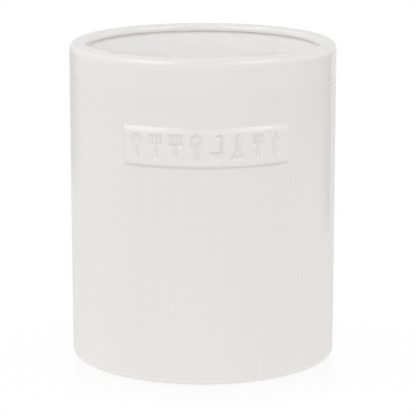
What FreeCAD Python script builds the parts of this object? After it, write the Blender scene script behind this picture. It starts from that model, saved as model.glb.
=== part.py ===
"""Ceramic utensil holder: a straight-sided crock with a rolled rim, a raised label plaque and a foot ring.

Frame: millimetres, +Z up, origin at the middle of the standing face, plaque towards -Y.
The crock is split where a potter forms it: wall, rim collar, floor, foot ring and plaque.
"""
import FreeCAD, Part
import math
import os

# Driving dimensions of the crock
outer_diameter = 128.0
overall_height = 152.5
wall_thickness = 6.2
floor_thickness = 6.5
heel_cove = 6.0            # inside round between wall and floor

# Driving dimensions of the rim collar
band_height = 16.0         # plain band from the top of the rim down to the textured wall
lip_overhang = 2.5         # how far the lip stands in from the inner wall
lip_outer_round = 3.0
lip_inner_round = 2.6
lip_under_round = 0.4
lip_root_round = 0.7       # hollow round where the lip's underside meets the inner wall

# Driving dimensions of the base
base_edge_round = 2.0
base_land = 1.0            # flat glazed strip between the rounded edge and the foot ring
foot_stand = 0.4           # how far the foot ring stands below the glazed edge
foot_rebate = 2.6          # how deep the foot ring is let into the base
foot_edge_round = 0.3

# Driving dimensions of the label plaque
plaque_width = 80.0        # measured round the outside of the wall
plaque_height = 18.0
plaque_relief = 1.6
plaque_drop = 15.0         # from the plain band's lower edge to the plaque's top edge
plaque_top_bevel = 2.4
plaque_bottom_bevel = 1.2
plaque_side_bevel = 1.0

# Sizes that follow from the driving dimensions
outer_radius = outer_diameter / 2
inner_radius = outer_radius - wall_thickness
lip_radius = inner_radius - lip_overhang
floor_radius = inner_radius - heel_cove
foot_radius = outer_radius - base_edge_round - base_land
foot_height = foot_stand + foot_rebate
floor_top = foot_height + floor_thickness
band_bottom = overall_height - band_height
plaque_top = band_bottom - plaque_drop
plaque_bottom = plaque_top - plaque_height
plaque_face_radius = outer_radius + plaque_relief
plaque_angle = math.degrees(plaque_width / outer_radius)

AXIS_POINT = FreeCAD.Vector(0, 0, 0)
AXIS = FreeCAD.Vector(0, 0, 1)
FULL_TURN = 360.0
FRONT_ANGLE = -90.0        # the plaque's middle, as an angle from +X


def at(radius, height):
    """A point of a section, in the XZ plane."""
    return FreeCAD.Vector(radius, 0, height)


def line(start, end):
    """A straight edge of a section."""
    return Part.makeLine(at(*start), at(*end))


def quarter(centre, radius, from_angle, to_angle):
    """A quarter-round edge of a section, between two angles in degrees."""
    angles = [math.radians(a) for a in (from_angle, (from_angle + to_angle) / 2, to_angle)]
    points = [at(centre[0] + radius * math.cos(a), centre[1] + radius * math.sin(a)) for a in angles]
    return Part.Arc(*points).toShape()


def turned(edges, angle=FULL_TURN):
    """The solid made by turning a closed section about the crock's axis."""
    section = Part.Face(Part.Wire(Part.__sortEdges__(edges)))
    return section.revolve(AXIS_POINT, AXIS, angle)


def rim_collar():
    """Plain band with the rolled lip: round outside, round inside, undercut below."""
    top = overall_height
    outer_centre = (outer_radius - lip_outer_round, top - lip_outer_round)
    inner_centre = (lip_radius + lip_inner_round, top - lip_inner_round)
    under_centre = (lip_radius + lip_under_round, inner_centre[1])
    lip_bottom = under_centre[1] - lip_under_round
    root_centre = (inner_radius - lip_root_round, lip_bottom - lip_root_round)
    edges = [
        line((outer_radius, band_bottom), (outer_radius, outer_centre[1])),
        quarter(outer_centre, lip_outer_round, 0, 90),
        line((outer_centre[0], top), (inner_centre[0], top)),
        quarter(inner_centre, lip_inner_round, 90, 180),
        quarter(under_centre, lip_under_round, 180, 270),
        line((under_centre[0], lip_bottom), (root_centre[0], lip_bottom)),
        quarter(root_centre, lip_root_round, 90, 0),
        line((inner_radius, root_centre[1]), (inner_radius, band_bottom)),
        line((inner_radius, band_bottom), (outer_radius, band_bottom)),
    ]
    return turned(edges)


def wall_sleeve():
    """Straight wall with a rounded base edge, and a heel that turns in to meet the floor."""
    cove_centre = (floor_radius, floor_top + heel_cove)
    edge_centre = (outer_radius - base_edge_round, foot_stand + base_edge_round)
    edges = [
        line((foot_radius, foot_stand), (edge_centre[0], foot_stand)),
        quarter(edge_centre, base_edge_round, 270, 360),
        line((outer_radius, edge_centre[1]), (outer_radius, band_bottom)),
        line((outer_radius, band_bottom), (inner_radius, band_bottom)),
        line((inner_radius, band_bottom), (inner_radius, cove_centre[1])),
        quarter(cove_centre, heel_cove, 0, -90),
        line((floor_radius, floor_top), (floor_radius, foot_height)),
        line((floor_radius, foot_height), (foot_radius, foot_height)),
        line((foot_radius, foot_height), (foot_radius, foot_stand)),
    ]
    return turned(edges)


def floor_disc():
    """Flat floor inside the heel, raised off the table by the foot ring."""
    return Part.makeCylinder(floor_radius, floor_thickness, at(0, foot_height), AXIS)


def foot_ring():
    """Bare ring that the crock stands on, let into the base inside the glazed edge."""
    inner_centre = (floor_radius + foot_edge_round, foot_edge_round)
    outer_centre = (foot_radius - foot_edge_round, foot_edge_round)
    edges = [
        line((foot_radius, foot_height), (floor_radius, foot_height)),
        line((floor_radius, foot_height), (floor_radius, foot_edge_round)),
        quarter(inner_centre, foot_edge_round, 180, 270),
        line((inner_centre[0], 0), (outer_centre[0], 0)),
        quarter(outer_centre, foot_edge_round, 270, 360),
        line((foot_radius, foot_edge_round), (foot_radius, foot_height)),
    ]
    return turned(edges)


def label_plaque():
    """Raised plaque that follows the wall, bevelled on all four sides."""
    edges = [
        line((outer_radius, plaque_bottom), (outer_radius, plaque_top)),
        line((outer_radius, plaque_top), (plaque_face_radius, plaque_top - plaque_top_bevel)),
        line((plaque_face_radius, plaque_top - plaque_top_bevel),
             (plaque_face_radius, plaque_bottom + plaque_bottom_bevel)),
        line((plaque_face_radius, plaque_bottom + plaque_bottom_bevel), (outer_radius, plaque_bottom)),
    ]
    plaque = turned(edges, plaque_angle)
    upright = [e for e in plaque.Edges if is_upright_at(e, plaque_face_radius)]
    plaque = plaque.makeChamfer(plaque_side_bevel, upright)
    plaque.rotate(AXIS_POINT, AXIS, FRONT_ANGLE - plaque_angle / 2)
    return plaque


def is_upright_at(edge, radius):
    """Whether an edge runs straight up at this distance from the axis."""
    ends = [v.Point for v in edge.Vertexes]
    return len(ends) == 2 and all(
        math.isclose(math.hypot(p.x, p.y), radius, abs_tol=1e-6) for p in ends
    ) and not math.isclose(ends[0].z, ends[1].z, abs_tol=1e-6)


PIECES = {
    "rim_collar": rim_collar,
    "wall_sleeve": wall_sleeve,
    "floor_disc": floor_disc,
    "foot_ring": foot_ring,
    "label_plaque": label_plaque,
}

os.makedirs("parts", exist_ok=True)
for name, make in PIECES.items():
    shape = make()
    shape.exportStep(f"parts/{name}.step")
    print(name, "valid", shape.isValid(), "solids", len(shape.Solids), "volume", round(shape.Volume, 1))
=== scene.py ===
"""Looks of a white glazed utensil crock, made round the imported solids.

Metres, +Z up, the label plaque towards -Y. The five pieces are formed as a potter forms them: a wall
pressed with a fine grid, a rolled rim, a floor, a bare foot ring and a raised plaque. All of them ride
on the one body.
"""
import math

import bpy
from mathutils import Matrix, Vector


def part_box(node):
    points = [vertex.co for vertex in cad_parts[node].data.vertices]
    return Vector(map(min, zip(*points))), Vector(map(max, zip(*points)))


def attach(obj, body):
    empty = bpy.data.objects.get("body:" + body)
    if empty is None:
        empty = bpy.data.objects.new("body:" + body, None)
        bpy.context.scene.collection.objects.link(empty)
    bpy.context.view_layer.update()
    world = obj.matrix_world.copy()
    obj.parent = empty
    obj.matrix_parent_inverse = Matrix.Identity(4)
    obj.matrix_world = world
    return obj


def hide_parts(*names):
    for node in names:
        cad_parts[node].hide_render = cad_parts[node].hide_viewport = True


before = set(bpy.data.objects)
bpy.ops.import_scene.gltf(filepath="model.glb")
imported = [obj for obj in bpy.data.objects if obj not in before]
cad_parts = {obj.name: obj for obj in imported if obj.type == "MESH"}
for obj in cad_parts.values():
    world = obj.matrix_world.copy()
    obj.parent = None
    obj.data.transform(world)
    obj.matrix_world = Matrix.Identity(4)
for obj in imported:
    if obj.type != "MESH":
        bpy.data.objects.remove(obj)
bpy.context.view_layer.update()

MM = 0.001
FULL_TURN = 2 * math.pi
FRONT = -math.pi / 2       # the plaque's middle, as an angle from +X

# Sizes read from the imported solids
wall_low, wall_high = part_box("wall_sleeve")
rim_low, rim_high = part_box("rim_collar")
floor_low, floor_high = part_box("floor_disc")
foot_low, foot_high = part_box("foot_ring")
plaque_low, plaque_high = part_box("label_plaque")
outer_radius = wall_high.x
floor_radius = floor_high.x
foot_radius = foot_high.x
plaque_relief = -plaque_low.y - outer_radius
plaque_height = plaque_high.z - plaque_low.z
plaque_middle = (plaque_high.z + plaque_low.z) / 2

# Sizes that those don't give, the same as in the solids
wall_thickness = 6.2 * MM
lip_overhang = 2.5 * MM
lip_under_round = 0.4 * MM
foot_edge_round = 0.3 * MM
plaque_width = 80.0 * MM   # measured round the outside of the wall
plaque_top_bevel = 2.4 * MM
plaque_side_bevel = 1.0 * MM
inner_radius = outer_radius - wall_thickness
mid_wall_radius = (outer_radius + inner_radius) / 2
lip_radius = inner_radius - lip_overhang
heel_cove = inner_radius - floor_radius

# Edges as the glaze leaves them: fuller on the lip and under it, squarer at the base and the plaque's foot
lip_outer_round = 3.8 * MM
lip_inner_round = 3.0 * MM
lip_bottom = rim_high.z - lip_inner_round - lip_under_round
lip_root_drop = 1.8 * MM   # height of the oval hollow under the lip
lip_root_fill = 1.4 * MM   # how much thicker the wall is where that hollow ends
base_edge_round = 1.0 * MM
base_hang = 0.2 * MM       # how far the base hangs below the solid's
plaque_foot_round = 1.8 * MM   # height over which the plaque's foot draws back
plaque_foot_ease = 0.5 * MM    # how far it draws back

# The fine grid pressed into the wall
grid_columns = 154
grid_rows = 51
row_pitch = 2.62 * MM
grid_turn = math.radians(-0.43)   # turns the columns to where the photograph has them
groove_depth = 0.10 * MM
pad_slope = 0.55 * MM      # width of a pad's sides
pad_slope_rise = 0.07 * MM
pad_crown = 0.42 * MM      # width of the softer slope on top of them
pad_crown_rise = groove_depth - pad_slope_rise
grid_foot = rim_low.z - grid_rows * row_pitch
seam_ease = 1.4 * MM       # height over which the plain band runs down into the first groove

# The stamped plaque
plaque_cell = 0.25 * MM    # how fine the sheet is that it is made from
plaque_sink = 0.5 * MM     # how far the plaque reaches into the wall
stamp_depth = 1.0 * MM
stamp_soft_edge = 1.1 * MM
mark_pitch = 9.4 * MM

# Steps round the axis, finer for the rim, which the light outlines
wall_turns = grid_columns
rim_turns = 2 * grid_columns

# Steps along the rounds of an outline
lip_steps = 14
round_steps = 10
under_steps = 6
foot_steps = 5
seam_steps = 5

merge_gap = 0.001 * MM     # vertices nearer than this are one


# Modelling helpers

def start_fresh():
    """Deselects everything, so that an operator meets only the new piece."""
    bpy.ops.object.select_all(action="DESELECT")


def edit(piece):
    """Opens one piece in edit mode."""
    bpy.context.view_layer.objects.active = piece
    bpy.ops.object.mode_set(mode="EDIT")


def leave():
    """Goes back to object mode."""
    bpy.ops.object.mode_set(mode="OBJECT")


def pick_faces(piece, wanted):
    """Selects the faces whose middle passes a test, and opens the piece in edit mode."""
    edit(piece)
    bpy.ops.mesh.select_mode(type="FACE")
    bpy.ops.mesh.select_all(action="DESELECT")
    leave()
    for face in piece.data.polygons:
        face.select = wanted(face.center)
    edit(piece)


def eased(share):
    """A share from 0 to 1 with soft ends."""
    share = min(1.0, max(0.0, share))
    return share * share * (3 - 2 * share)


def arc(centre, radius, from_angle, to_angle, steps, upright_radius=None):
    """Points of a round stretch of an outline, angles in degrees, with an upright radius if it is oval."""
    rise = upright_radius or radius
    angles = [math.radians(from_angle + (to_angle - from_angle) * i / steps) for i in range(steps + 1)]
    return [(centre[0] + radius * math.cos(a), centre[1] + rise * math.sin(a)) for a in angles]


def turned(name, outline, turns):
    """A turned piece: a vertex drawn along an outline of radii and heights, then spun about the axis."""
    start_fresh()
    bpy.ops.mesh.primitive_plane_add(size=MM)
    piece = bpy.context.object
    piece.name = name
    piece.data.name = name
    edit(piece)
    bpy.ops.mesh.select_mode(type="VERT")
    bpy.ops.mesh.select_all(action="SELECT")
    bpy.ops.mesh.merge(type="CENTER")
    across, along = math.cos(grid_turn), math.sin(grid_turn)
    radius, height = outline[0]
    bpy.ops.transform.translate(value=(radius * across, radius * along, height))
    for next_radius, next_height in outline[1:]:
        step = next_radius - radius
        move = (step * across, step * along, next_height - height)
        bpy.ops.mesh.extrude_region_move(TRANSFORM_OT_translate={"value": move})
        radius, height = next_radius, next_height
    bpy.ops.mesh.select_all(action="SELECT")
    bpy.ops.mesh.spin(steps=turns, angle=FULL_TURN, center=(0, 0, 0), axis=(0, 0, 1))
    close_up()
    leave()
    return piece


def close_up():
    """Merges doubled vertices and turns every face outwards, in edit mode."""
    bpy.ops.mesh.select_all(action="SELECT")
    bpy.ops.mesh.remove_doubles(threshold=merge_gap)
    bpy.ops.mesh.normals_make_consistent(inside=False)


def smooth(piece, sharp_angle):
    """Smooth shading, except over edges sharper than this angle in degrees."""
    start_fresh()
    piece.select_set(True)
    bpy.context.view_layer.objects.active = piece
    bpy.ops.object.shade_smooth_by_angle(angle=math.radians(sharp_angle))


def fit(piece, node, material):
    """Gives a finished piece its glaze or clay, and puts it in its node's place on the body."""
    piece.data.materials.clear()
    piece.data.materials.append(material)
    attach(piece, "root")
    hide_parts(node)


# Pieces

def gridded_wall():
    """Straight wall with a rounded base edge, its outside pressed into a fine grid of soft pads."""
    groove_radius = outer_radius - groove_depth
    base = wall_low.z - base_hang
    edge_centre = (outer_radius - base_edge_round, base + base_edge_round)
    cove_centre = (floor_radius, floor_high.z + heel_cove)
    outline = [(foot_radius, base)]
    outline += arc(edge_centre, base_edge_round, 270, 360, round_steps)
    outline += [(groove_radius, grid_foot + row * row_pitch) for row in range(grid_rows + 1)]
    outline += [(inner_radius, rim_low.z)]
    outline += arc(cove_centre, heel_cove, 0, -90, round_steps)
    outline += [(floor_radius, floor_low.z), (foot_radius, floor_low.z), (foot_radius, base)]
    wall = turned("gridded_wall", outline, wall_turns)

    def in_grid(middle):
        on_outside = math.hypot(middle.x, middle.y) > outer_radius - 2 * groove_depth
        return on_outside and grid_foot < middle.z < rim_low.z

    pick_faces(wall, in_grid)
    bpy.ops.mesh.inset(use_individual=True, thickness=pad_slope, depth=pad_slope_rise)
    bpy.ops.mesh.inset(use_individual=True, thickness=pad_crown, depth=pad_crown_rise)
    leave()
    smooth(wall, sharp_angle=60)
    fit(wall, "wall_sleeve", wall_glaze())


def rolled_rim():
    """Plain band and rolled lip, undercut on the inside where the lip stands in from the wall."""
    outer_centre = (outer_radius - lip_outer_round, rim_high.z - lip_outer_round)
    inner_centre = (lip_radius + lip_inner_round, rim_high.z - lip_inner_round)
    under_centre = (lip_radius + lip_under_round, inner_centre[1])
    root_centre = (under_centre[0], lip_bottom - lip_root_drop)
    root_reach = inner_radius - lip_root_fill - root_centre[0]
    outline = []
    for step in range(seam_steps + 1):
        share = step / seam_steps
        outline.append((outer_radius - groove_depth * (1 - eased(share)), rim_low.z + seam_ease * share))
    outline += arc(outer_centre, lip_outer_round, 0, 90, lip_steps)
    outline += arc(inner_centre, lip_inner_round, 90, 180, lip_steps)
    outline += arc(under_centre, lip_under_round, 180, 270, under_steps)[1:]
    outline += arc(root_centre, root_reach, 90, 0, round_steps, lip_root_drop)[1:]
    outline += [(inner_radius, rim_low.z), outline[0]]
    rim = turned("rolled_rim", outline, rim_turns)
    smooth(rim, sharp_angle=50)
    fit(rim, "rim_collar", rim_glaze())


def dished_floor():
    """Floor inside the crock, dished a little towards its middle as a pressed floor is."""
    dish = 0.5 * MM
    rings = 10
    outline = [(0, floor_low.z), (floor_radius, floor_low.z)]
    for ring in range(rings, -1, -1):
        share = ring / rings
        outline.append((floor_radius * share, floor_high.z - dish * (1 - share ** 2)))
    floor = turned("dished_floor", outline, wall_turns)
    smooth(floor, sharp_angle=50)
    fit(floor, "floor_disc", floor_glaze())


def bare_foot():
    """Ring of bare clay that the crock stands on, wiped clean of glaze and rubbed smooth at its edges."""
    inner_centre = (floor_radius + foot_edge_round, foot_low.z + foot_edge_round)
    outer_centre = (foot_radius - foot_edge_round, foot_low.z + foot_edge_round)
    outline = [(foot_radius, foot_high.z), (floor_radius, foot_high.z)]
    outline += arc(inner_centre, foot_edge_round, 180, 270, foot_steps)
    outline += arc(outer_centre, foot_edge_round, 270, 360, foot_steps)
    outline += [outline[0]]
    foot = turned("bare_foot", outline, wall_turns)
    smooth(foot, sharp_angle=40)
    fit(foot, "foot_ring", bare_clay())


# Shapes of the marks stamped in the plaque: each gives how far a point lies outside it

def stroke(start, end, half_width):
    """A round-ended stroke."""
    span = (end[0] - start[0], end[1] - start[1])
    length_squared = span[0] ** 2 + span[1] ** 2

    def outside(x, y):
        share = ((x - start[0]) * span[0] + (y - start[1]) * span[1]) / length_squared
        share = min(1.0, max(0.0, share))
        return math.hypot(x - start[0] - share * span[0], y - start[1] - share * span[1]) - half_width
    return outside


def oval(centre, across, up):
    """A filled oval."""
    def outside(x, y):
        return (math.hypot((x - centre[0]) / across, (y - centre[1]) / up) - 1) * min(across, up)
    return outside


def hoop(centre, across, up, half_width):
    """The line round an oval."""
    rim = oval(centre, across, up)
    return lambda x, y: abs(rim(x, y)) - half_width


def block(low, high):
    """A filled rectangle."""
    return lambda x, y: max(low[0] - x, x - high[0], low[1] - y, y - high[1])


def together(*shapes):
    """All of these shapes."""
    return lambda x, y: min(shape(x, y) for shape in shapes)


def less(shape, *cuts):
    """A shape with others cut out of it."""
    return lambda x, y: max(shape(x, y), *(-cut(x, y) for cut in cuts))


# The marks themselves, drawn in millimetres about each one's middle

MARK_REACH = 5.6           # half a mark's height
HANDLE = 0.9               # half a handle's width


def handle(from_height):
    """A tool's handle, from its head down to the mark's foot."""
    return stroke((0, from_height), (0, HANDLE - MARK_REACH), HANDLE)


def spoon_mark():
    """An oval bowl."""
    return together(oval((0, 2.8), 2.4, 2.8), handle(0.5))


def fork_mark():
    """Three tines on a bar."""
    tines = [stroke((x, 2.0), (x, 5.0), 0.55) for x in (-2.0, 0, 2.0)]
    return together(stroke((-1.8, 1.5), (1.8, 1.5), 0.75), handle(1.2), *tines)


def turner_mark():
    """A square blade with three slots."""
    slots = [stroke((x, 1.9), (x, 4.2), 0.42) for x in (-1.6, 0, 1.6)]
    return together(less(block((-2.8, 0.5), (2.8, MARK_REACH)), *slots), handle(0.4))


def whisk_mark():
    """A wide and a narrow loop of wire."""
    wires = [hoop((0, 2.3), 2.3, 2.9, 0.48), hoop((0, 2.3), 0.9, 2.9, 0.42)]
    return together(handle(-1.0), *wires)


def ladle_mark():
    """A half-round bowl at the foot of a hooked handle."""
    bowl = less(oval((-0.6, -2.4), 2.8, 3.1), block((-4, -2.2), (4, 4)))
    hook = less(hoop((0.9, 4.2), 0.95, 0.95, 0.5), block((-4, 0), (4, 4.2)))
    return together(bowl, stroke((1.8, -2.6), (1.8, 4.2), 0.65), hook)


def masher_mark():
    """A plate on two splayed legs, with the handle above."""
    plate = stroke((-2.3, -4.8), (2.3, -4.8), 0.75)
    legs = [stroke((side * 0.3, -0.4), (side * 1.8, -4.4), 0.55) for side in (-1, 1)]
    return together(plate, stroke((0, 0.1), (0, MARK_REACH - HANDLE), HANDLE), *legs)


def brush_mark():
    """Four tufts of bristles in a block."""
    bristles = [stroke((x, 2.4), (x, 5.1), 0.42) for x in (-1.95, -0.65, 0.65, 1.95)]
    return together(block((-2.4, 0.8), (2.4, 2.0)), handle(0.6), *bristles)


def pin_mark():
    """A rolling pin with a grip at each end."""
    grips = [stroke((0, side * 3.5), (0, side * 4.9), 0.7) for side in (-1, 1)]
    return together(block((-1.7, -3.4), (1.7, 3.4)), *grips)


MARKS = [
    spoon_mark(),
    fork_mark(),
    turner_mark(),
    whisk_mark(),
    ladle_mark(),
    masher_mark(),
    brush_mark(),
    pin_mark(),
]


def stamped(across, up):
    """How much of the stamp's depth a place on the plaque has."""
    middle_column = (len(MARKS) - 1) / 2
    column = round(across / mark_pitch + middle_column)
    column = min(len(MARKS) - 1, max(0, column))
    middle = (column - middle_column) * mark_pitch
    outside = MARKS[column]((across - middle) / MM, up / MM) * MM
    return eased(0.5 - outside / stamp_soft_edge)


def plaque_lift(across, up):
    """How far a place on the plaque stands off the wall, with rounded bevels and an eased foot."""
    slopes = (
        (plaque_height / 2 - up) / plaque_top_bevel,
        (plaque_width / 2 - abs(across)) / plaque_side_bevel,
    )
    from_foot = min(1.0, (plaque_height / 2 + up) / plaque_foot_round)
    rounded = math.sin(min(1.0, *slopes) * math.pi / 2)
    return plaque_relief * rounded - plaque_foot_ease * (1 - from_foot) ** 2


def flat_plaque():
    """A fine flat sheet of the plaque's size."""
    start_fresh()
    bpy.ops.mesh.primitive_grid_add(
        x_subdivisions=round(plaque_width / plaque_cell),
        y_subdivisions=round(plaque_height / plaque_cell),
        size=1,
    )
    plaque = bpy.context.object
    plaque.name = "stamped_plaque"
    plaque.data.name = "stamped_plaque"
    edit(plaque)
    bpy.ops.mesh.select_all(action="SELECT")
    bpy.ops.transform.resize(value=(plaque_width, plaque_height, 1))
    leave()
    return plaque


def add_back():
    """Gives the selected sheet a flat back inside the wall, and closes its sides, in edit mode."""
    bpy.ops.mesh.duplicate()
    bpy.ops.transform.resize(value=(1, 1, 0), center_override=(0, 0, -plaque_sink))
    bpy.ops.mesh.flip_normals()
    bpy.ops.mesh.select_mode(type="EDGE")
    bpy.ops.mesh.select_all(action="DESELECT")
    bpy.ops.mesh.select_non_manifold(
        use_wire=False,
        use_multi_face=False,
        use_non_contiguous=False,
        use_verts=False,
    )
    bpy.ops.mesh.bridge_edge_loops()


def stamped_plaque():
    """Raised plaque: a fine flat sheet lifted to its bevels, stamped, backed and wrapped on the wall."""
    plaque = flat_plaque()
    for vertex in plaque.data.vertices:
        across, up = vertex.co.x, vertex.co.y
        vertex.co.z = plaque_lift(across, up) - stamp_depth * stamped(across, up)
    edit(plaque)
    bpy.ops.mesh.select_all(action="SELECT")
    bpy.ops.mesh.vertices_smooth(factor=0.5, repeat=2, xaxis=False, yaxis=False, zaxis=True)
    add_back()
    leave()
    for vertex in plaque.data.vertices:
        angle = FRONT + vertex.co.x / outer_radius
        radius = outer_radius + vertex.co.z
        vertex.co = (radius * math.cos(angle), radius * math.sin(angle), plaque_middle + vertex.co.y)
    edit(plaque)
    close_up()
    leave()
    smooth(plaque, sharp_angle=60)
    fit(plaque, "label_plaque", plaque_glaze())


# Node helpers

FLOAT = "NodeSocketFloat"
COLOR = "NodeSocketColor"
VECTOR = "NodeSocketVector"

# A Mix node's inputs, a share and what it mixes, and its output, by number because their names repeat
MIX_VALUES = (0, 2, 3)
MIX_COLOURS = (0, 6, 7)
MIXED_VALUE = 0
MIXED_COLOUR = 2


def new_material(name):
    """A new material and its node tree."""
    material = bpy.data.materials.new(name)
    material.use_nodes = True
    return material, material.node_tree


def place(tree, kind, sockets, **settings):
    """Adds a node with its settings, and feeds its inputs with values or with other nodes' outputs."""
    made = tree.nodes.new(kind)
    for name, value in settings.items():
        setattr(made, name, value)
    for socket, value in sockets.items():
        if isinstance(value, bpy.types.NodeSocket):
            tree.links.new(value, made.inputs[socket])
        else:
            made.inputs[socket].default_value = value
    return made


def work_out(tree, operation, *values):
    """The output of a Math node."""
    return place(tree, "ShaderNodeMath", dict(enumerate(values)), operation=operation).outputs[0]


def product(tree, *values):
    """Several values multiplied, from first to last."""
    result = values[0]
    for value in values[1:]:
        result = work_out(tree, "MULTIPLY", result, value)
    return result


def carried(tree, value, from_range, to_range, course):
    """A value carried from one range to another, held at the ends."""
    ranges = {
        "Value": value,
        "From Min": from_range[0],
        "From Max": from_range[1],
        "To Min": to_range[0],
        "To Max": to_range[1],
    }
    return place(tree, "ShaderNodeMapRange", ranges, interpolation_type=course).outputs["Result"]


def spread(tree, value, from_range, to_range):
    """A value carried with soft ends from one range to another."""
    return carried(tree, value, from_range, to_range, "SMOOTHSTEP")


def straight(tree, value, from_range, to_range):
    """A value carried evenly from one range to another."""
    return carried(tree, value, from_range, to_range, "LINEAR")


def between(tree, share, first, second):
    """A value between two values."""
    sockets = dict(zip(MIX_VALUES, (share, first, second)))
    return place(tree, "ShaderNodeMix", sockets, data_type="FLOAT").outputs[MIXED_VALUE]


def mixed(tree, share, first, second):
    """A colour between two colours."""
    sockets = dict(zip(MIX_COLOURS, (share, first, second)))
    return place(tree, "ShaderNodeMix", sockets, data_type="RGBA").outputs[MIXED_COLOUR]


def noise(tree, points, scale, detail):
    """A cloudy noise over a piece."""
    clouds = {"Vector": points, "Scale": scale, "Detail": detail}
    return place(tree, "ShaderNodeTexNoise", clouds).outputs[0]


def own_points(tree):
    """Where each point of a piece is."""
    return tree.nodes.new("ShaderNodeTexCoord").outputs["Object"]


def reach_of(tree, across, along):
    """How far two steps at right angles reach."""
    squares = [work_out(tree, "MULTIPLY", step, step) for step in (across, along)]
    return work_out(tree, "SQRT", work_out(tree, "ADD", *squares))


def radius_of(tree, points):
    """How far points lie from the crock's axis, and how high they lie."""
    parts = place(tree, "ShaderNodeSeparateXYZ", {"Vector": points}).outputs
    return reach_of(tree, parts["X"], parts["Y"]), parts["Z"]


def bump(tree, shader, height, strength, depth):
    """Gives a finish a fine relief that the light catches."""
    relief = place(tree, "ShaderNodeBump", {"Strength": strength, "Distance": depth, "Height": height})
    tree.links.new(relief.outputs["Normal"], shader.inputs["Normal"])


def new_group(name, inputs, outputs):
    """An empty node group with named sockets, and its input and output nodes."""
    group = bpy.data.node_groups.new(name, "ShaderNodeTree")
    for socket, (kind, default) in inputs.items():
        made = group.interface.new_socket(name=socket, in_out="INPUT", socket_type=kind)
        if default is not None:
            made.default_value = default
    for socket, kind in outputs.items():
        group.interface.new_socket(name=socket, in_out="OUTPUT", socket_type=kind)
    return group, group.nodes.new("NodeGroupInput").outputs, group.nodes.new("NodeGroupOutput").inputs


def use_group(tree, group, sockets):
    """The outputs of a node that uses a group, with some inputs set."""
    return place(tree, "ShaderNodeGroup", sockets, node_tree=group).outputs


# Effects that several finishes share

NOISE_RANGE = (0.3, 0.7)   # where most of a noise lies


def glaze_tone_group():
    """Slow drifts and fine mottling between two tones, of glaze or of clay."""
    drift_share = 0.7
    mottle_share = 0.3
    group, given, result = new_group(
        "glaze_tone",
        {
            "Vector": (VECTOR, None),
            "Tone": (COLOR, (0.8, 0.8, 0.8, 1)),
            "Deep tone": (COLOR, (0.7, 0.7, 0.7, 1)),
            "Drift": (FLOAT, 0.5),
        },
        {"Color": COLOR},
    )
    slow = noise(group, given["Vector"], scale=22.0, detail=2.0)
    fine = noise(group, given["Vector"], scale=420.0, detail=3.0)
    drift = spread(group, slow, NOISE_RANGE, (0.0, drift_share))
    mottle = spread(group, fine, NOISE_RANGE, (0.0, mottle_share))
    share = work_out(group, "MULTIPLY", work_out(group, "ADD", drift, mottle), given["Drift"])
    group.links.new(mixed(group, share, given["Tone"], given["Deep tone"]), result["Color"])
    return group


def glaze_skin_group():
    """The glaze's own surface: a faint ripple with a finer peel, and a polish that varies with the peel."""
    peel_share = 0.18
    group, given, result = new_group(
        "glaze_skin",
        {"Vector": (VECTOR, None), "Polish": (FLOAT, 0.12), "Unevenness": (FLOAT, 0.05)},
        {"Height": FLOAT, "Roughness": FLOAT},
    )
    ripple = noise(group, given["Vector"], scale=130.0, detail=1.0)
    peel = noise(group, given["Vector"], scale=900.0, detail=2.0)
    fine = work_out(group, "MULTIPLY", peel, peel_share)
    group.links.new(work_out(group, "ADD", ripple, fine), result["Height"])
    dulled = work_out(group, "MULTIPLY", peel, given["Unevenness"])
    group.links.new(work_out(group, "ADD", given["Polish"], dulled), result["Roughness"])
    return group


def pooling_and_shade_group():
    """Where glaze has run and gathered, with painted shade in the same hollows: deeper places below a given
    radius.
    """
    darkens_from = 0.15        # share of the depth at which the gathered glaze and its painted shade begin
    group, given, result = new_group(
        "glaze_pooling_and_shade",
        {"Vector": (VECTOR, None), "Face radius": (FLOAT, outer_radius), "Depth": (FLOAT, groove_depth)},
        {"Mask": FLOAT},
    )
    radius, _ = radius_of(group, given["Vector"])
    below = work_out(group, "SUBTRACT", given["Face radius"], radius)
    share = work_out(group, "DIVIDE", below, given["Depth"])
    group.links.new(spread(group, share, (darkens_from, 1.0), (0.0, 1.0)), result["Mask"])
    return group


def thin_edge_and_shade_group():
    """Where glaze has drawn thin over an edge that runs round the crock, broken up as a kiln leaves it.
    Under the lip the same mask is painted shade.
    """
    fullest_to = 0.3          # share of the reach over which the mask is full: the thinnest glaze, and under the lip the deepest painted shade
    patch_noise = (0.35, 0.65)
    patch_range = (0.75, 1.0)
    group, given, result = new_group(
        "thin_glaze_and_shade_edge",
        {
            "Vector": (VECTOR, None),
            "Edge radius": (FLOAT, outer_radius),
            "Edge height": (FLOAT, 0.0),
            "Reach": (FLOAT, MM),
        },
        {"Mask": FLOAT},
    )
    radius, height = radius_of(group, given["Vector"])
    across = work_out(group, "SUBTRACT", radius, given["Edge radius"])
    up = work_out(group, "SUBTRACT", height, given["Edge height"])
    away = work_out(group, "DIVIDE", reach_of(group, across, up), given["Reach"])
    broken = noise(group, given["Vector"], scale=160.0, detail=3.0)
    patchy = spread(group, broken, patch_noise, patch_range)
    near = spread(group, away, (fullest_to, 1.0), (1.0, 0.0))
    group.links.new(work_out(group, "MULTIPLY", near, patchy), result["Mask"])
    return group


def specks_group():
    """Scattered small specks, as iron or grit leaves in clay and glaze."""
    without_specks = 0.8       # share of the cells that have none
    group, given, result = new_group(
        "kiln_specks",
        {"Vector": (VECTOR, None), "Density": (FLOAT, 300.0), "Size": (FLOAT, 0.05)},
        {"Mask": FLOAT},
    )
    scattered = {"Vector": given["Vector"], "Scale": given["Density"]}
    cells = place(group, "ShaderNodeTexVoronoi", scattered).outputs
    chance = place(group, "ShaderNodeTexWhiteNoise", {"Vector": cells["Position"]}, noise_dimensions="3D")
    few = work_out(group, "GREATER_THAN", chance.outputs["Value"], without_specks)
    dot = spread(group, cells["Distance"], (0.0, given["Size"]), (1.0, 0.0))
    group.links.new(work_out(group, "MULTIPLY", few, dot), result["Mask"])
    return group


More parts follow.
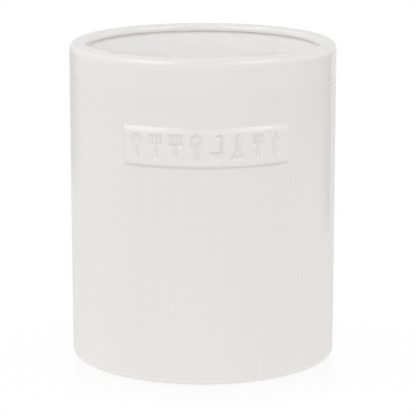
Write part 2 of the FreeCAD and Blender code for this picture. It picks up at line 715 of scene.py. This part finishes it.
GLAZE_TONE = glaze_tone_group()
GLAZE_SKIN = glaze_skin_group()
POOLING_AND_SHADE = pooling_and_shade_group()
THIN_EDGE_AND_SHADE = thin_edge_and_shade_group()
SPECKS = specks_group()


# Finishes

GLAZE_WHITE = (0.812, 0.804, 0.786, 1)
GLAZE_CREAM = (0.799, 0.789, 0.766, 1)
# deeper tone of gathered glaze, and painted shade in the grid's grooves and stamped marks; the floor also
# darkens to it towards the heel
GLAZE_POOLED_AND_SHADE = (0.763, 0.752, 0.727, 1)
# warm tint of glaze drawn thin; under the lip it also darkens the wall as painted shade
GLAZE_THIN_AND_SHADE = (0.640, 0.560, 0.480, 1)
# painted light: the glaze inside, whiter than outside so the shaded well comes out bright
INSIDE_PAINTED_LIGHT_WHITE = (0.955, 0.950, 0.938, 1)
INSIDE_PAINTED_LIGHT_CREAM = (0.944, 0.936, 0.920, 1)
SPECK_BROWN = (0.50, 0.42, 0.33, 1)
CLAY_PALE = (0.74, 0.70, 0.64, 1)
CLAY_TAN = (0.64, 0.58, 0.50, 1)

GLAZE_IOR = 1.5
GLAZE_DRIFT = 0.7
GLAZE_UNEVENNESS = 0.8     # how much the polish varies, as a share of itself

# Polish of the glaze, as a roughness
WALL_POLISH = 0.10
FINE_POLISH = 0.035
FLOOR_POLISH = 0.14


def tinted(tree, colour, mask, share, tint):
    """A colour that takes on a share of a tint where a mask shows."""
    return mixed(tree, work_out(tree, "MULTIPLY", mask, share), colour, tint)


def drifting(tree, points, tone, deep_tone, drift):
    """A colour that drifts between two tones."""
    tones = {"Vector": points, "Tone": tone, "Deep tone": deep_tone, "Drift": drift}
    return use_group(tree, GLAZE_TONE, tones)["Color"]


def specked(tree, points, colour, density, size, share):
    """A colour with brown specks in it."""
    specks = use_group(tree, SPECKS, {"Vector": points, "Density": density, "Size": size})["Mask"]
    return tinted(tree, colour, specks, share, SPECK_BROWN)


def pooled_and_shaded(tree, points, colour, face_radius, depth, share):
    """A glaze's colour, deepened where it has gathered below a face, which also paints the shade in those
    hollows.
    """
    face = {"Vector": points, "Face radius": face_radius, "Depth": depth}
    gathered = use_group(tree, POOLING_AND_SHADE, face)["Mask"]
    return tinted(tree, colour, gathered, share, GLAZE_POOLED_AND_SHADE)


def thinned_and_shaded(tree, points, colour, edge_radius, edge_height, reach, share):
    """A glaze's colour, warmed where it has drawn thin over an edge, and under the lip darkened as painted
    shade.
    """
    edge = {"Vector": points, "Edge radius": edge_radius, "Edge height": edge_height, "Reach": reach}
    thin = use_group(tree, THIN_EDGE_AND_SHADE, edge)["Mask"]
    return tinted(tree, colour, thin, share, GLAZE_THIN_AND_SHADE)


def inside_painted_light(tree, points):
    """The glaze's colour inside, made whiter than outside as painted light, so the shaded well comes out as
    bright as the outside.
    """
    return drifting(tree, points, INSIDE_PAINTED_LIGHT_WHITE, INSIDE_PAINTED_LIGHT_CREAM, GLAZE_DRIFT)


def glaze(name, polish, tone=GLAZE_WHITE, deep_tone=GLAZE_CREAM):
    """A new glossy glaze: its material, tree and shader, where its points are, and its colour so far."""
    material, tree = new_material(name)
    shader = tree.nodes["Principled BSDF"]
    shader.inputs["IOR"].default_value = GLAZE_IOR
    points = own_points(tree)
    colour = drifting(tree, points, tone, deep_tone, GLAZE_DRIFT)
    polishes = {"Vector": points, "Polish": polish, "Unevenness": GLAZE_UNEVENNESS * polish}
    skin = use_group(tree, GLAZE_SKIN, polishes)
    tree.links.new(skin["Roughness"], shader.inputs["Roughness"])
    bump(tree, shader, skin["Height"], strength=0.15, depth=0.02 * MM)
    colour = specked(tree, points, colour, density=260.0, size=0.045, share=0.35)
    return material, tree, shader, points, colour


def wall_glaze():
    """Glaze on the wall: gathered in the grooves outside with painted shade there, a whiter copy inside as
    painted light, drawn thin by the foot ring.
    """
    material, tree, shader, points, colour = glaze("wall_glaze", WALL_POLISH)
    radius, _ = radius_of(tree, points)
    outside = work_out(tree, "GREATER_THAN", radius, mid_wall_radius)
    # painted shade: the grooves take a deeper tone where occlusion falls, on top of the gathered glaze
    colour = pooled_and_shaded(tree, points, colour, outer_radius, groove_depth, share=0.5)
    # painted light: the inside of the wall takes the whiter inside colour
    colour = mixed(tree, outside, inside_painted_light(tree, points), colour)
    # by the foot ring this is only glaze drawn thin
    colour = thinned_and_shaded(tree, points, colour, foot_radius, wall_low.z, reach=2.0 * MM, share=0.4)
    tree.links.new(colour, shader.inputs["Base Color"])
    return material


def rim_glaze():
    """Glaze on the rim: a whiter copy inside below the lip as painted light, drawn thin and warm over the
    lip's underside, with painted shade on the wall under the lip.
    """
    thin_and_shade_radius = lip_radius + 1.0 * MM   # on the lip's underside, where the painted shade under the lip is centred
    material, tree, shader, points, colour = glaze("rim_glaze", FINE_POLISH)
    radius, height = radius_of(tree, points)
    below_lip = work_out(tree, "LESS_THAN", height, lip_bottom + lip_under_round)
    in_well = work_out(tree, "LESS_THAN", radius, mid_wall_radius)
    # painted light: inside the well below the lip, the whiter inside colour
    colour = mixed(tree, work_out(tree, "MULTIPLY", below_lip, in_well), colour, inside_painted_light(tree, points))
    # painted shade: the thin-glaze tint also darkens the wall just under the lip, where the lip's shadow
    # falls
    colour = thinned_and_shaded(tree, points, colour, thin_and_shade_radius, lip_bottom, reach=2.2 * MM, share=0.35)
    tree.links.new(colour, shader.inputs["Base Color"])
    return material


def plaque_glaze():
    """Glaze on the plaque: gathered in the stamped marks, with painted shade in them."""
    material, tree, shader, points, colour = glaze("plaque_glaze", FINE_POLISH)
    # painted shade: the stamped marks take a deeper tone, on top of the gathered glaze
    colour = pooled_and_shaded(tree, points, colour, outer_radius + plaque_relief, stamp_depth, share=0.3)
    tree.links.new(colour, shader.inputs["Base Color"])
    return material


def floor_glaze():
    """Glaze on the floor inside, in the whiter inside colour as painted light, a little deeper in tone
    towards the heel.
    """
    heel_from = 0.7 * floor_radius
    heel_share = 0.3
    material, tree, shader, points, colour = glaze("floor_glaze", FLOOR_POLISH, INSIDE_PAINTED_LIGHT_WHITE, INSIDE_PAINTED_LIGHT_CREAM)
    radius, _ = radius_of(tree, points)
    heel = spread(tree, radius, (heel_from, floor_radius), (0.0, heel_share))
    tree.links.new(mixed(tree, heel, colour, GLAZE_POOLED_AND_SHADE), shader.inputs["Base Color"])
    return material


def bare_clay():
    """Matt fired clay with a fine grain and grit."""
    clay_drift = 0.9
    clay_roughness = (0.75, 0.95)
    material, tree = new_material("bare_clay")
    shader = tree.nodes["Principled BSDF"]
    points = own_points(tree)
    colour = drifting(tree, points, CLAY_PALE, CLAY_TAN, clay_drift)
    colour = specked(tree, points, colour, density=900.0, size=0.25, share=0.6)
    tree.links.new(colour, shader.inputs["Base Color"])
    grain = noise(tree, points, scale=2600.0, detail=4.0)
    tree.links.new(spread(tree, grain, NOISE_RANGE, clay_roughness), shader.inputs["Roughness"])
    bump(tree, shader, grain, strength=0.6, depth=0.08 * MM)
    return material


# Studio

WHITE = (1, 1, 1, 1)
SEEN_LEVEL = 1.0           # backdrop and table as the camera sees them
MIRRORED_LEVEL = 0.86      # the same as the glaze mirrors them
CEILING_LIGHT = 0.80       # light that the middle of the ceiling sheds on the crock
CEILING_FOCUS = 4.0        # how fast it fades away from there
PANEL_RISE = 22            # how high the soft panels round the crock hang, in degrees
PANEL_FOCUS = 24.0         # how fast a panel's light fades away from its middle
PANEL_LEAST = 0.00001      # least that a panel counts as facing, so that it sheds nothing behind it
TABLE_LIGHT = (0.64, 0.53) # light that the table sheds on the crock, from beside it and from further off
TABLE_SPREAD = 0.30        # distance from the axis that counts as further off

# Each panel's light, by its angle from the front in degrees
PANEL_LIGHT = {-120: 5.8, -75: 2.5, 0: 7.6, 75: 2.0, 120: 5.1}


def seen_directly(tree):
    """Whether a ray comes from the camera, or mirrors or passes through something."""
    path = tree.nodes.new("ShaderNodeLightPath").outputs
    direct = work_out(tree, "MAXIMUM", path["Is Camera Ray"], path["Is Glossy Ray"])
    return work_out(tree, "MAXIMUM", direct, path["Is Transmission Ray"])


def backdrop_level(tree):
    """How bright the backdrop and table look, to the camera and in the glaze."""
    in_glaze = tree.nodes.new("ShaderNodeLightPath").outputs["Is Glossy Ray"]
    return straight(tree, in_glaze, (0.0, 1.0), (SEEN_LEVEL, MIRRORED_LEVEL))


def way(azimuth, rise):
    """A direction from the crock, by its angle from the front and its rise, in degrees."""
    bearing = FRONT + math.radians(azimuth)
    slope = math.radians(rise)
    return (math.cos(bearing) * math.cos(slope), math.sin(bearing) * math.cos(slope), math.sin(slope))


def white_surround():
    """White all round to the eye, with the light that a bright ceiling and a ring of soft panels shed."""
    world = bpy.data.worlds.new("white_surround")
    bpy.context.scene.world = world
    world.use_nodes = True
    tree = world.node_tree
    surround = tree.nodes["Background"]
    surround.inputs["Color"].default_value = WHITE
    towards = tree.nodes.new("ShaderNodeTexCoord").outputs["Generated"]
    rise = place(tree, "ShaderNodeSeparateXYZ", {"Vector": towards}).outputs["Z"]
    shed = work_out(tree, "MULTIPLY", work_out(tree, "POWER", rise, CEILING_FOCUS), CEILING_LIGHT)
    for azimuth, light in PANEL_LIGHT.items():
        panel = {0: towards, 1: way(azimuth, PANEL_RISE)}
        facing = place(tree, "ShaderNodeVectorMath", panel, operation="DOT_PRODUCT").outputs["Value"]
        faded = work_out(tree, "POWER", work_out(tree, "MAXIMUM", facing, PANEL_LEAST), PANEL_FOCUS)
        shed = work_out(tree, "ADD", shed, work_out(tree, "MULTIPLY", faded, light))
    level = between(tree, seen_directly(tree), shed, backdrop_level(tree))
    tree.links.new(level, surround.inputs["Strength"])


def table_surface(tree, radius, direct):
    """A white table that glows, and keeps a little of the light and shadow that fall on it."""
    table_white = (0.85, 0.85, 0.85, 1)
    shadow_share = 0.03        # how much of the table's own lit colour the camera sees near the crock
    shadow_reach = 0.25        # distance from the axis at which the camera sees none of it
    bounce_share = 0.25        # how much of that lit colour comes back up to the crock
    foot_glow = 1.2            # how many times more light the table sheds right at the crock's foot
    foot_glow_reach = 4 * MM
    lit = place(tree, "ShaderNodeBsdfDiffuse", {"Color": table_white}).outputs[0]
    shed = straight(tree, radius, (outer_radius, TABLE_SPREAD), TABLE_LIGHT)
    at_foot = straight(tree, radius, (outer_radius, outer_radius + foot_glow_reach), (foot_glow, 1.0))
    level = between(tree, direct, work_out(tree, "MULTIPLY", shed, at_foot), backdrop_level(tree))
    glow = place(tree, "ShaderNodeEmission", {"Color": WHITE, "Strength": level}).outputs[0]
    seen_share = straight(tree, radius, (outer_radius, shadow_reach), (1 - shadow_share, 1.0))
    share = between(tree, direct, 1 - bounce_share, seen_share)
    return place(tree, "ShaderNodeMixShader", {0: share, 1: lit, 2: glow}).outputs[0]


def mirror_share(tree, points, radius, direct):
    """How much the table mirrors: in front of the crock, fading away from its foot and past its sides."""
    table_ior = 1.5
    strength = 0.8
    reach = 34 * MM
    front_edge = -0.3 * outer_radius
    side_edge = 0.94 * outer_radius
    gloss = place(tree, "ShaderNodeFresnel", {"IOR": table_ior}).outputs[0]
    near = straight(tree, radius, (outer_radius, outer_radius + reach), (1.0, 0.0))
    parts = place(tree, "ShaderNodeSeparateXYZ", {"Vector": points}).outputs
    in_front = straight(tree, parts["Y"], (front_edge, 0.0), (1.0, 0.0))
    aside = work_out(tree, "ABSOLUTE", parts["X"])
    below_crock = straight(tree, aside, (side_edge, outer_radius), (1.0, 0.0))
    return product(tree, gloss, strength, near, in_front, below_crock, direct)


def white_floor():
    """White light table, with the crock's soft shadow and its faint mirror image near the foot."""
    table_radius = 4
    table_drop = 0.05 * MM     # keeps the table clear of the foot ring
    mirror_roughness = 0.06
    start_fresh()
    bpy.ops.mesh.primitive_circle_add(
        vertices=96,
        radius=table_radius,
        fill_type="NGON",
        location=(0, 0, -table_drop),
    )
    table = bpy.context.object
    table.name = "white_floor"
    material, tree = new_material("white_floor")
    tree.nodes.remove(tree.nodes["Principled BSDF"])
    direct = seen_directly(tree)
    points = own_points(tree)
    radius, _ = radius_of(tree, points)
    plain = table_surface(tree, radius, direct)
    mirror = place(tree, "ShaderNodeBsdfGlossy", {"Color": WHITE, "Roughness": mirror_roughness}).outputs[0]
    share = mirror_share(tree, points, radius, direct)
    surface = place(tree, "ShaderNodeMixShader", {0: share, 1: plain, 2: mirror}).outputs[0]
    tree.links.new(surface, tree.nodes["Material Output"].inputs["Surface"])
    table.data.materials.append(material)


def softbox(name, spot, width, length, swing, level, tint):
    """A panel overhead that the glaze mirrors, swung about the upright, as bright as its level says."""
    lamp = bpy.data.lights.new(name, "AREA")
    lamp.shape = "RECTANGLE"
    lamp.size = width
    lamp.size_y = length
    lamp.energy = math.pi * level * width * length
    lamp.color = tint
    panel = bpy.data.objects.new(name, lamp)
    bpy.context.scene.collection.objects.link(panel)
    panel.location = spot
    panel.rotation_euler = (0, 0, math.radians(swing))
    panel.visible_camera = False
    panel.visible_diffuse = False


def edge_card(name, distance, from_angle, to_angle, level):
    """A grey card beside the crock that only the glaze mirrors, its angles from the front in degrees."""
    start_fresh()
    bpy.ops.mesh.primitive_plane_add(size=1)
    card = bpy.context.object
    card.name = name
    ends = [FRONT + math.radians(a) for a in (from_angle, to_angle)]
    corners = [(distance * math.cos(a), distance * math.sin(a), z) for z in (0, rim_high.z) for a in ends]
    for vertex, corner in zip(card.data.vertices, corners):
        vertex.co = corner
    material, tree = new_material(name)
    tree.nodes.remove(tree.nodes["Principled BSDF"])
    glow = place(tree, "ShaderNodeEmission", {"Color": WHITE, "Strength": level}).outputs[0]
    tree.links.new(glow, tree.nodes["Material Output"].inputs["Surface"])
    card.data.materials.append(material)
    card.visible_camera = False
    card.visible_diffuse = False
    card.visible_shadow = False
    card.visible_transmission = False


def studio():
    """White surroundings, a table, two overhead softboxes, and cards that draw the crock's edges."""
    warm_white = (1.0, 0.985, 0.96)
    cool_white = (0.97, 0.985, 1.0)
    white_surround()
    white_floor()
    softbox("left_softbox", spot=(-0.59, -0.28, 0.95), width=0.57, length=0.68, swing=-39,
            level=2.35, tint=warm_white)
    softbox("right_softbox", spot=(0.55, -0.30, 0.95), width=0.54, length=0.68, swing=37,
            level=2.15, tint=cool_white)
    edge_card("right_edge_card", distance=0.32, from_angle=117, to_angle=132, level=0.42)
    edge_card("right_far_card", distance=0.65, from_angle=84, to_angle=121, level=0.42)
    edge_card("left_edge_card", distance=0.46, from_angle=-131, to_angle=-157, level=0.62)


def camera():
    """The photograph's view: a long lens, from above the rim and a little to the left of the plaque."""
    picture_pixels = 416
    focal_pixels = 2048.5
    axis_left_of_middle = 5.2  # pixels from the crock's axis to the picture's middle
    distance = 974.4 * MM
    height = 293.1 * MM
    pitch = math.radians(12.90)
    azimuth = math.radians(-1.65)
    data = bpy.data.cameras.new("camera")
    data.sensor_width = 36
    data.lens = data.sensor_width * focal_pixels / picture_pixels
    view = bpy.data.objects.new("camera", data)
    bpy.context.scene.collection.objects.link(view)
    view.location = (distance * math.sin(azimuth), -distance * math.cos(azimuth), height)
    heading = azimuth - math.atan(axis_left_of_middle / focal_pixels)
    view.rotation_euler = (math.pi / 2 - pitch, 0, heading)
    bpy.context.scene.camera = view


gridded_wall()
rolled_rim()
dished_floor()
bare_foot()
stamped_plaque()
studio()
camera()
bpy.context.scene.view_settings.view_transform = "Standard"
